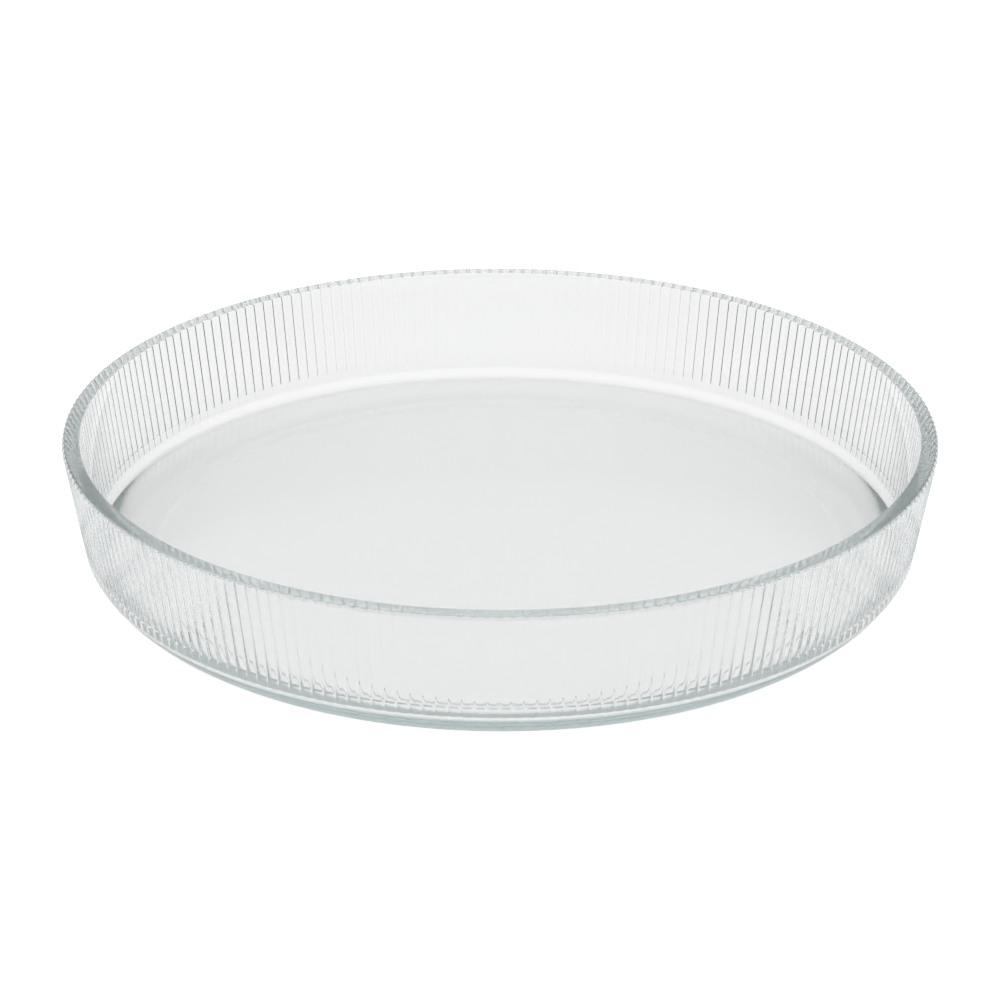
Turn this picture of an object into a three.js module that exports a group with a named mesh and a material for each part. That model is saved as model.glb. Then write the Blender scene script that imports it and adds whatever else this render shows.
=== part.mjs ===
// A round baking dish of clear pressed glass, in one piece: a thick flat base with a rounded foot, a leaning
// wall with fine upright flutes all round its outside, and a flat rim.
// Millimetres, +Z up. The origin is the centre of the flat underside that the dish stands on.

import * as THREE from 'three';

// Driving dimensions
const RIM_RADIUS = 140; // outside of the rim, over the crests between the flutes
const HEIGHT = 47.3; // from the surface it stands on to the flat top of the rim
const RIM_WIDTH = 5.7; // glass at the top of the wall, crest of a flute to the inside
const WALL_DRAFT = THREE.MathUtils.degToRad(9.8); // how far the outside of the wall leans out
const INSIDE_DRAFT = THREE.MathUtils.degToRad(6.7); // the same for the inside
const BASE_THICKNESS = 9.3;
const FOOT_CURVE = 20; // radius of the outer curve from the underside up to the wall
const FOOT_INSET = 0.25; // how far the top of the foot lies behind the crests of the flutes
const INSIDE_CORNER = 0.8; // radius of the inner curve from the floor up to the wall
const RIM_OUTER_ROUNDING = 1.15;
const RIM_INNER_ROUNDING = 0.4;

// The flat pad in the middle of the underside, which alone touches the table
const PAD_RADIUS = 110.5;
const PAD_STEP = 0.25; // how far it stands down
const PAD_RUN = 1.1; // width of the slope round it

// The flutes
const FLUTE_PITCH = 3.93; // crest to crest, measured round the rim
const FLUTE_DEPTH = 0.2; // crest to the middle of a flute
const FLUTE_END_HEIGHT = 11.6; // where the smooth foot ends
const FLUTE_END_RISE = 0.3; // height of the slope from the foot out to the flutes

// How finely the curves are cut
const POINTS_PER_FLUTE = 4;
const FOOT_STEPS = 5;
const INSIDE_CORNER_STEPS = 2;
const RIM_INNER_STEPS = 2;

const fluteCount = Math.round((2 * Math.PI * RIM_RADIUS) / FLUTE_PITCH);
const smoothCount = Math.round(fluteCount / 2);

// A ring of points round the axis. Between two crests the points sink in towards the middle of a flute.
function ring(radius, height, count, fluteDepth = 0) {
  const points = [];
  for (let i = 0; i < count; i += 1) {
    const turn = (2 * Math.PI * i) / count;
    const share = (turn * fluteCount) / (2 * Math.PI);
    const fromCrest = Math.abs(share - Math.round(share));
    const reach = radius - fluteDepth * (1 - (1 - 2 * fromCrest) ** 2);
    points.push(new THREE.Vector3(reach * Math.cos(turn), reach * Math.sin(turn), height));
  }
  return points;
}

// Points on a round stretch of the section, as pairs of radius and height
function sectionArc(centreRadius, centreHeight, radius, fromAngle, toAngle, steps) {
  const clockwise = toAngle < fromAngle;
  const arc = new THREE.EllipseCurve(
    centreRadius, centreHeight, radius, radius, fromAngle, toAngle, clockwise,
  );
  return arc.getPoints(steps);
}

function smoothRings(sectionPoints) {
  return sectionPoints.map((point) => ring(point.x, point.y, smoothCount));
}

// The outer face of the wall meets the rim's rounding where both lean alike
const rimCentreHeight = HEIGHT - RIM_OUTER_ROUNDING;
const fluteTopHeight = rimCentreHeight - RIM_OUTER_ROUNDING * Math.sin(WALL_DRAFT);
const fluteTopRadius = RIM_RADIUS - RIM_OUTER_ROUNDING * (1 - Math.cos(WALL_DRAFT));

function crestRadius(height) {
  return fluteTopRadius - (fluteTopHeight - height) * Math.tan(WALL_DRAFT);
}

// The underside: the flat pad, the slope round it, then the foot's curve up to where the flutes begin
function footRings() {
  const pad = [new THREE.Vector2(PAD_RADIUS, 0), new THREE.Vector2(PAD_RADIUS + PAD_RUN, PAD_STEP)];
  const endRadius = crestRadius(FLUTE_END_HEIGHT) - FOOT_INSET;
  const turn = Math.acos(1 - (FLUTE_END_HEIGHT - PAD_STEP) / FOOT_CURVE);
  const centreRadius = endRadius - FOOT_CURVE * Math.sin(turn);
  const arc = sectionArc(
    centreRadius, PAD_STEP + FOOT_CURVE, FOOT_CURVE, -Math.PI / 2, turn - Math.PI / 2, FOOT_STEPS,
  );
  return smoothRings([...pad, ...arc]);
}

// The fluted outside of the wall, and the rim's outer rounding that the flutes run up into
function flutedRings() {
  const fineCount = fluteCount * POINTS_PER_FLUTE;
  const fluteFoot = FLUTE_END_HEIGHT + FLUTE_END_RISE;
  return [
    ring(crestRadius(fluteFoot), fluteFoot, fineCount, FLUTE_DEPTH),
    ring(fluteTopRadius, fluteTopHeight, fineCount, FLUTE_DEPTH),
    ring(RIM_RADIUS - RIM_OUTER_ROUNDING, HEIGHT, fluteCount),
  ];
}

// The flat rim's inner edge, the smooth inside of the wall and the curve down to the floor
function insideRings() {
  const topRadius = RIM_RADIUS - RIM_WIDTH;
  const lean = Math.tan(INSIDE_DRAFT);
  const edgeCentreHeight = HEIGHT - RIM_INNER_ROUNDING;
  const edgeCentreRadius = topRadius + RIM_INNER_ROUNDING;
  const edge = sectionArc(
    edgeCentreRadius, edgeCentreHeight, RIM_INNER_ROUNDING,
    Math.PI / 2, Math.PI - INSIDE_DRAFT, RIM_INNER_STEPS,
  );
  const wallTop = edge[edge.length - 1];
  const cornerCentreHeight = BASE_THICKNESS + INSIDE_CORNER;
  const wallRadiusThere = wallTop.x - (wallTop.y - cornerCentreHeight) * lean;
  const cornerCentreRadius = wallRadiusThere - INSIDE_CORNER / Math.cos(INSIDE_DRAFT);
  const corner = sectionArc(
    cornerCentreRadius, cornerCentreHeight, INSIDE_CORNER,
    -INSIDE_DRAFT, -Math.PI / 2, INSIDE_CORNER_STEPS,
  );
  return smoothRings([...edge, ...corner]);
}

// One closed skin through all the rings, from the middle of the underside to the middle of the floor
function skin(rings, firstCentre, lastCentre) {
  const corners = [];
  const triangle = (a, b, c) => corners.push(a, b, c);

  const first = rings[0];
  first.forEach((point, i) => triangle(firstCentre, first[(i + 1) % first.length], point));

  for (let k = 0; k + 1 < rings.length; k += 1) {
    const lower = rings[k];
    const upper = rings[k + 1];
    let i = 0;
    let j = 0;
    while (i < lower.length || j < upper.length) {
      const a = lower[i % lower.length];
      const b = upper[j % upper.length];
      if ((i + 0.5) / lower.length <= (j + 0.5) / upper.length) {
        i += 1;
        triangle(a, lower[i % lower.length], b);
      } else {
        j += 1;
        triangle(a, upper[j % upper.length], b);
      }
    }
  }

  const last = rings[rings.length - 1];
  last.forEach((point, i) => triangle(lastCentre, point, last[(i + 1) % last.length]));

  const geometry = new THREE.BufferGeometry().setFromPoints(corners);
  geometry.computeVertexNormals();
  return geometry;
}

function glassDish() {
  const rings = [...footRings(), ...flutedRings(), ...insideRings()];
  const underside = new THREE.Vector3(0, 0, 0);
  const floor = new THREE.Vector3(0, 0, BASE_THICKNESS);
  const clearGlass = new THREE.MeshStandardMaterial({
    color: 0xdcebea,
    roughness: 0.03,
    metalness: 0,
    transparent: true,
    opacity: 0.35,
  });
  const dish = new THREE.Mesh(skin(rings, underside, floor), clearGlass);
  dish.name = 'glass_dish';
  return dish;
}

const bakingDish = new THREE.Group();
bakingDish.add(glassDish());

export default bakingDish;
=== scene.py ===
"""A round baking dish of clear pressed glass on a pale floor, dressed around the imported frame.

Metres, +Z up. The dish stands on Z = 0 and is round about the Z axis, as in the frame.
"""

import math

import bmesh
import bpy
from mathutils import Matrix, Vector


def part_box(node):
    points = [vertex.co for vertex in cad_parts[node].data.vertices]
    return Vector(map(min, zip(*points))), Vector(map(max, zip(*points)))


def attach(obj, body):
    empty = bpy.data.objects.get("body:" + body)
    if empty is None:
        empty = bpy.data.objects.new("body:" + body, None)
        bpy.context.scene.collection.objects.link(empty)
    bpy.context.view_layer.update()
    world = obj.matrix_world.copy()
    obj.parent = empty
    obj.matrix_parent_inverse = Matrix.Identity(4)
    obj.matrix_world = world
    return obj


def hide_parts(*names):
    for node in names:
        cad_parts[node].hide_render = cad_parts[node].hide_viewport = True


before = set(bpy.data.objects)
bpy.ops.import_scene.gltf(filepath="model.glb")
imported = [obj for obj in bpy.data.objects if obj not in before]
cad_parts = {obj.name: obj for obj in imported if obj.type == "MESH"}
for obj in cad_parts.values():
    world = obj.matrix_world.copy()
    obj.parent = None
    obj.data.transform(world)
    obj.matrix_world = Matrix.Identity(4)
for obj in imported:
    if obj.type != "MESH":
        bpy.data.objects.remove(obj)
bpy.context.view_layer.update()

# Sizes taken from the frame
dish_low, dish_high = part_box("glass_dish")
RIM_RADIUS = dish_high.x
HEIGHT = dish_high.z

# Section of the dish
RIM_WIDTH = 0.0057
WALL_DRAFT = math.radians(9.8)
INSIDE_DRAFT = math.radians(6.7)
BASE_THICKNESS = 0.0093
FOOT_CURVE = 0.02
FOOT_INSET = 0.00025
INSIDE_CORNER = 0.0008
RIM_OUTER_ROUNDING = 0.00115
RIM_INNER_ROUNDING = 0.0004
PAD_RADIUS = 0.1105
PAD_STEP = 0.00025
PAD_RUN = 0.0011

# Flutes round the outside, with a narrow ridge between each two
FLUTE_COUNT = 224
FLUTE_DEPTH = 0.00004
FLUTE_END_HEIGHT = 0.0116
FLUTE_END_RISE = 0.0003
BAND_TOP = 0.015
BAND_SHARE = 0.5  # of the flutes' depth, in the band above the foot
RIDGE_HEIGHT = 0.0003
RIDGE_SHARE = 0.4  # of half a flute's width
FLUTE_POINTS = (0.0, 0.35, 0.62, 0.76, 0.9, 1.0)  # from a flute's middle to its ridge
FLUTE_REPEATS = (7, 2, 2, 2, 2, 2)  # these multiply to the count of flutes

FOOT_STEPS = 8
MERGE_DISTANCE = 1e-6
LONG_STRETCH = 0.003
SUPPORT_GAP = 0.0003

# Camera of the photograph
CAMERA_ELEVATION = math.radians(24.62)
CAMERA_ROLL = math.radians(0.186)
CAMERA_DISTANCE = 1.1705
CAMERA_TARGET = Vector((0.0, 0.0, 0.02035))
CAMERA_LENS_MM = 130.0

# Glass
GLASS_IOR = 1.5
GLASS_TINT = (0.5, 0.62, 0.62)
GLASS_DENSITY = 7.0

RIM_PATCH = 0.0004
RIM_ROUGHNESS = 0.15
FLOOR_PATCH = 0.0004
FLOOR_ROUGHNESS = 0.2
WAVE_SIZE = 0.012
WAVE_HEIGHT = 0.00001
GRAIN_SIZE = 0.0016
GRAIN_HEIGHT = 0.0001

LIGHT_BOUNCES = 64  # light that runs inside the base meets its faces many times

# Stage
FLOOR_SIZE = 8.0
FLOOR_GAP = 0.0002
FLOOR_COLOUR = 0.6
FLOOR_LIFT = 0.8
GLASS_LIFT = 0.45
TOP_LIGHT = 1.3
TOP_EDGE = (0.5, 0.8)
BACK_LIGHT = 1.25
BACK_EDGE = (0.6, 0.85)
SIDE_LIGHT = 0.04
FRONT_LIGHT = 0.04
FRONT_EDGE = (-0.8, -0.1)


def add_material(name):
    """A new material with an empty node tree, and its output node."""
    material = bpy.data.materials.new(name)
    material.use_nodes = True
    tree = material.node_tree
    tree.nodes.clear()
    output = tree.nodes.new("ShaderNodeOutputMaterial")
    return material, tree, output


def join_values(tree, operation, first, second):
    """One math node on two values, each a number or a socket."""
    node = tree.nodes.new("ShaderNodeMath")
    node.operation = operation
    for socket, value in zip(node.inputs, (first, second)):
        if isinstance(value, float):
            socket.default_value = value
        else:
            tree.links.new(value, socket)
    return node.outputs["Value"]


def ramp(tree, source, start, end, low, high):
    """A value that goes smoothly from low to high as the source goes from start to end."""
    span = tree.nodes.new("ShaderNodeMapRange")
    span.interpolation_type = "SMOOTHSTEP"
    for name, value in (("From Min", start), ("From Max", end), ("To Min", low), ("To Max", high)):
        span.inputs[name].default_value = value
    tree.links.new(source, span.inputs["Value"])
    return span.outputs["Result"]


def clear_glass():
    """Pressed glass: fire-polished walls, a floor and rim dulled by the plunger, and a tint where it is thick."""
    material, tree, output = add_material("clear_glass")
    shader = tree.nodes.new("ShaderNodeBsdfPrincipled")
    shader.inputs["Base Color"].default_value = (1.0, 1.0, 1.0, 1.0)
    shader.inputs["IOR"].default_value = GLASS_IOR
    shader.inputs["Transmission Weight"].default_value = 1.0
    place = tree.nodes.new("ShaderNodeTexCoord")
    split = tree.nodes.new("ShaderNodeSeparateXYZ")
    tree.links.new(place.outputs["Object"], split.inputs["Vector"])
    height = split.outputs["Z"]

    on_rim = ramp(tree, height, HEIGHT - RIM_PATCH, HEIGHT - RIM_PATCH / 2, 0.0, 1.0)
    on_floor = join_values(
        tree, "MULTIPLY",
        ramp(tree, height, BASE_THICKNESS - FLOOR_PATCH, BASE_THICKNESS - FLOOR_PATCH / 2, 0.0, 1.0),
        ramp(tree, height, BASE_THICKNESS + FLOOR_PATCH / 2, BASE_THICKNESS + FLOOR_PATCH, 1.0, 0.0),
    )
    roughness = join_values(
        tree, "MAXIMUM",
        join_values(tree, "MULTIPLY", on_rim, RIM_ROUGHNESS),
        join_values(tree, "MULTIPLY", on_floor, FLOOR_ROUGHNESS),
    )
    tree.links.new(roughness, shader.inputs["Roughness"])

    def noise(size):
        node = tree.nodes.new("ShaderNodeTexNoise")
        node.inputs["Scale"].default_value = 1.0 / size
        node.inputs["Detail"].default_value = 1.0
        tree.links.new(place.outputs["Object"], node.inputs["Vector"])
        return node.outputs["Fac"]

    wave = join_values(tree, "MULTIPLY", noise(WAVE_SIZE), WAVE_HEIGHT)
    grain = join_values(tree, "MULTIPLY", noise(GRAIN_SIZE), join_values(tree, "MULTIPLY", on_rim, GRAIN_HEIGHT))
    bump = tree.nodes.new("ShaderNodeBump")
    bump.inputs["Strength"].default_value = 1.0
    bump.inputs["Distance"].default_value = 1.0
    tree.links.new(join_values(tree, "ADD", wave, grain), bump.inputs["Height"])
    tree.links.new(bump.outputs["Normal"], shader.inputs["Normal"])

    tint = tree.nodes.new("ShaderNodeVolumeAbsorption")
    tint.inputs["Color"].default_value = (*GLASS_TINT, 1.0)
    tint.inputs["Density"].default_value = GLASS_DENSITY
    tree.links.new(shader.outputs["BSDF"], output.inputs["Surface"])
    tree.links.new(tint.outputs["Volume"], output.inputs["Volume"])
    return material


def round_corner(bm, corner, radius, segments):
    """Rounds one corner of the section to an arc of the given radius."""
    first, second = (edge.other_vert(corner).co - corner.co for edge in corner.link_edges)
    half_angle = first.angle(second) / 2
    bmesh.ops.bevel(
        bm, geom=[corner], offset=radius / math.tan(half_angle), offset_type="OFFSET",
        segments=segments, profile=0.5, affect="VERTICES", material=-1,
    )


def hold_flats(bm):
    """Adds a point beside each bend on the long straight stretches, so that smooth shading keeps them flat."""
    for edge in bm.edges[:]:
        ends = [vert for vert in edge.verts if vert.co.x > MERGE_DISTANCE]
        if edge.calc_length() > LONG_STRETCH:
            for vert in ends:
                edge = next(near for near in vert.link_edges if near.calc_length() > LONG_STRETCH / 2)
                bmesh.utils.edge_split(edge, vert, SUPPORT_GAP / edge.calc_length())


def dish_section(bm):
    """The dish's section as a wire in the XZ plane, from the underside's centre to the floor's centre."""
    wall_lean = math.tan(WALL_DRAFT)
    inside_lean = math.tan(INSIDE_DRAFT)
    rim_corner = RIM_RADIUS + RIM_OUTER_ROUNDING * (1 / math.cos(WALL_DRAFT) + wall_lean - 1)
    inside_rim = RIM_RADIUS - RIM_WIDTH
    inside_floor = inside_rim - (HEIGHT - BASE_THICKNESS) * inside_lean
    flute_foot = FLUTE_END_HEIGHT + FLUTE_END_RISE
    foot_turn = math.acos(1 - (FLUTE_END_HEIGHT - PAD_STEP) / FOOT_CURVE)
    foot_end = rim_corner - (HEIGHT - FLUTE_END_HEIGHT) * wall_lean - FOOT_INSET
    foot_radius = foot_end - FOOT_CURVE * math.sin(foot_turn)
    turns = [foot_turn * step / FOOT_STEPS for step in range(FOOT_STEPS)]
    turns += [foot_turn - SUPPORT_GAP / FOOT_CURVE, foot_turn]

    def point(radius, height):
        return bm.verts.new((radius, 0.0, height))

    chain = [point(0.0, 0.0), point(PAD_RADIUS, 0.0), point(PAD_RADIUS + PAD_RUN, PAD_STEP)]
    for turn in turns:
        rise = FOOT_CURVE * (1 - math.cos(turn))
        chain.append(point(foot_radius + FOOT_CURVE * math.sin(turn), PAD_STEP + rise))
    for height in (flute_foot, BAND_TOP, BAND_TOP + FLUTE_END_RISE):
        chain.append(point(rim_corner - (HEIGHT - height) * wall_lean, height))
    rim_outside = point(rim_corner, HEIGHT)
    rim_inside = point(inside_rim, HEIGHT)
    floor_corner = point(inside_floor, BASE_THICKNESS)
    chain += [rim_outside, rim_inside, floor_corner, point(0.0, BASE_THICKNESS)]
    for start, end in zip(chain, chain[1:]):
        bm.edges.new((start, end))
    round_corner(bm, rim_outside, RIM_OUTER_ROUNDING, 6)
    round_corner(bm, rim_inside, RIM_INNER_ROUNDING, 4)
    round_corner(bm, floor_corner, INSIDE_CORNER, 4)
    hold_flats(bm)


def press_flutes(bm):
    """Presses one flute into the wedge of the wall, between two half ridges, and shallower in the low band."""
    pitch = 2 * math.pi / FLUTE_COUNT
    half_steps = len(FLUTE_POINTS) - 1
    wall_lean = math.tan(WALL_DRAFT)
    for vert in bm.verts:
        radius = math.hypot(vert.co.x, vert.co.y)
        height = vert.co.z
        step = round(math.atan2(vert.co.y, vert.co.x) / pitch * 2 * half_steps) - half_steps
        across = FLUTE_POINTS[abs(step)]
        turn = (1 + math.copysign(across, step)) / 2 * pitch
        middle = RIM_RADIUS - RIM_WIDTH / 2 - (HEIGHT - height) * wall_lean
        if height > FLUTE_END_HEIGHT + MERGE_DISTANCE and radius > middle:
            rim = min(1.0, max(0.0, (HEIGHT - height) / RIM_OUTER_ROUNDING))
            to_ridge = min(1.0, (1 - across) / RIDGE_SHARE)
            ridge = RIDGE_HEIGHT * (1 + math.cos(math.pi * to_ridge)) / 2
            flute = FLUTE_DEPTH * (1 - across ** 2) + RIDGE_HEIGHT - ridge
            if height < BAND_TOP + MERGE_DISTANCE:
                flute *= BAND_SHARE
            radius -= flute * math.sqrt(1 - (1 - rim) ** 2)
        vert.co.x = radius * math.cos(turn)
        vert.co.y = radius * math.sin(turn)


def glass_dish(material):
    """The whole dish as one closed, smooth skin of glass: one flute's wedge, repeated all round."""
    bm = bmesh.new()
    dish_section(bm)
    turn = 2 * math.pi / FLUTE_COUNT
    bmesh.ops.spin(
        bm, geom=bm.verts[:] + bm.edges[:], cent=(0, 0, 0), axis=(0, 0, 1), dvec=(0, 0, 0),
        angle=turn, steps=2 * (len(FLUTE_POINTS) - 1), use_merge=False, use_normal_flip=False, use_duplicate=False,
    )
    press_flutes(bm)
    for repeats in FLUTE_REPEATS:
        bmesh.ops.spin(
            bm, geom=bm.verts[:] + bm.edges[:] + bm.faces[:], cent=(0, 0, 0), axis=(0, 0, 1),
            dvec=(0, 0, 0), angle=turn * (repeats - 1), steps=repeats - 1, use_merge=False,
            use_normal_flip=False, use_duplicate=True,
        )
        turn *= repeats
    bmesh.ops.remove_doubles(bm, verts=bm.verts[:], dist=MERGE_DISTANCE)
    bmesh.ops.recalc_face_normals(bm, faces=bm.faces[:])
    for face in bm.faces:
        face.smooth = True
    mesh = bpy.data.meshes.new("pressed_glass_dish")
    bm.to_mesh(mesh)
    bm.free()
    mesh.materials.append(material)
    dish = bpy.data.objects.new("pressed_glass_dish", mesh)
    bpy.context.scene.collection.objects.link(dish)
    return dish


def floor_material():
    """A plain pale floor that keeps the dish's shadow, lifted to white where the camera sees it."""
    material, tree, output = add_material("pale_floor")
    matte = tree.nodes.new("ShaderNodeBsdfDiffuse")
    matte.inputs["Color"].default_value = (FLOOR_COLOUR, FLOOR_COLOUR, FLOOR_COLOUR, 1.0)
    glow = tree.nodes.new("ShaderNodeEmission")
    glow.inputs["Strength"].default_value = 1.0
    path = tree.nodes.new("ShaderNodeLightPath")
    total = tree.nodes.new("ShaderNodeAddShader")

    glass_ray = join_values(tree, "MAXIMUM", path.outputs["Is Glossy Ray"], path.outputs["Is Transmission Ray"])
    glass_lift = join_values(tree, "MULTIPLY", glass_ray, GLASS_LIFT)
    camera_lift = join_values(tree, "MULTIPLY", path.outputs["Is Camera Ray"], FLOOR_LIFT)
    tree.links.new(join_values(tree, "MAXIMUM", glass_lift, camera_lift), glow.inputs["Strength"])
    tree.links.new(matte.outputs["BSDF"], total.inputs[0])
    tree.links.new(glow.outputs["Emission"], total.inputs[1])
    tree.links.new(total.outputs["Shader"], output.inputs["Surface"])
    return material


def pale_floor():
    bm = bmesh.new()
    bmesh.ops.create_grid(bm, x_segments=1, y_segments=1, size=FLOOR_SIZE / 2)
    bmesh.ops.translate(bm, verts=bm.verts[:], vec=(0, 0, -FLOOR_GAP))
    mesh = bpy.data.meshes.new("floor")
    bm.to_mesh(mesh)
    bm.free()
    mesh.materials.append(floor_material())
    floor = bpy.data.objects.new("floor", mesh)
    bpy.context.scene.collection.objects.link(floor)


def studio_world():
    """A studio all round: a soft bright top, a pale backdrop behind, and dimmer sides and front."""
    world = bpy.data.worlds.new("studio")
    bpy.context.scene.world = world
    world.use_nodes = True
    tree = world.node_tree
    tree.nodes.clear()
    output = tree.nodes.new("ShaderNodeOutputWorld")
    background = tree.nodes.new("ShaderNodeBackground")
    direction = tree.nodes.new("ShaderNodeTexCoord")
    split = tree.nodes.new("ShaderNodeSeparateXYZ")
    tree.links.new(direction.outputs["Generated"], split.inputs["Vector"])

    top = ramp(tree, split.outputs["Z"], *TOP_EDGE, 0.0, TOP_LIGHT)
    back = ramp(tree, split.outputs["Y"], *BACK_EDGE, 0.0, BACK_LIGHT - SIDE_LIGHT)
    front = ramp(tree, split.outputs["Y"], *FRONT_EDGE, FRONT_LIGHT, SIDE_LIGHT)
    around = join_values(tree, "ADD", front, back)
    tree.links.new(join_values(tree, "MAXIMUM", top, around), background.inputs["Strength"])
    tree.links.new(background.outputs["Background"], output.inputs["Surface"])
    background.inputs["Color"].default_value = (1.0, 1.0, 1.0, 1.0)


def photo_camera():
    camera = bpy.data.cameras.new("camera")
    camera.lens = CAMERA_LENS_MM
    camera.sensor_width = 36.0
    holder = bpy.data.objects.new("camera", camera)
    back = Vector((0.0, -math.cos(CAMERA_ELEVATION), math.sin(CAMERA_ELEVATION)))
    holder.location = CAMERA_TARGET + CAMERA_DISTANCE * back
    holder.rotation_mode = "ZYX"
    holder.rotation_euler = (math.pi / 2 - CAMERA_ELEVATION, 0.0, CAMERA_ROLL)
    bpy.context.scene.collection.objects.link(holder)
    bpy.context.scene.camera = holder


def light_paths():
    """Enough bounces for light that runs inside the glass."""
    cycles = bpy.context.scene.cycles
    cycles.max_bounces = LIGHT_BOUNCES
    cycles.transmission_bounces = LIGHT_BOUNCES
    cycles.glossy_bounces = LIGHT_BOUNCES


photo_camera()
studio_world()
pale_floor()
light_paths()

dish = glass_dish(clear_glass())
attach(dish, "root")
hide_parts("glass_dish")

bpy.context.scene.view_settings.view_transform = "Standard"
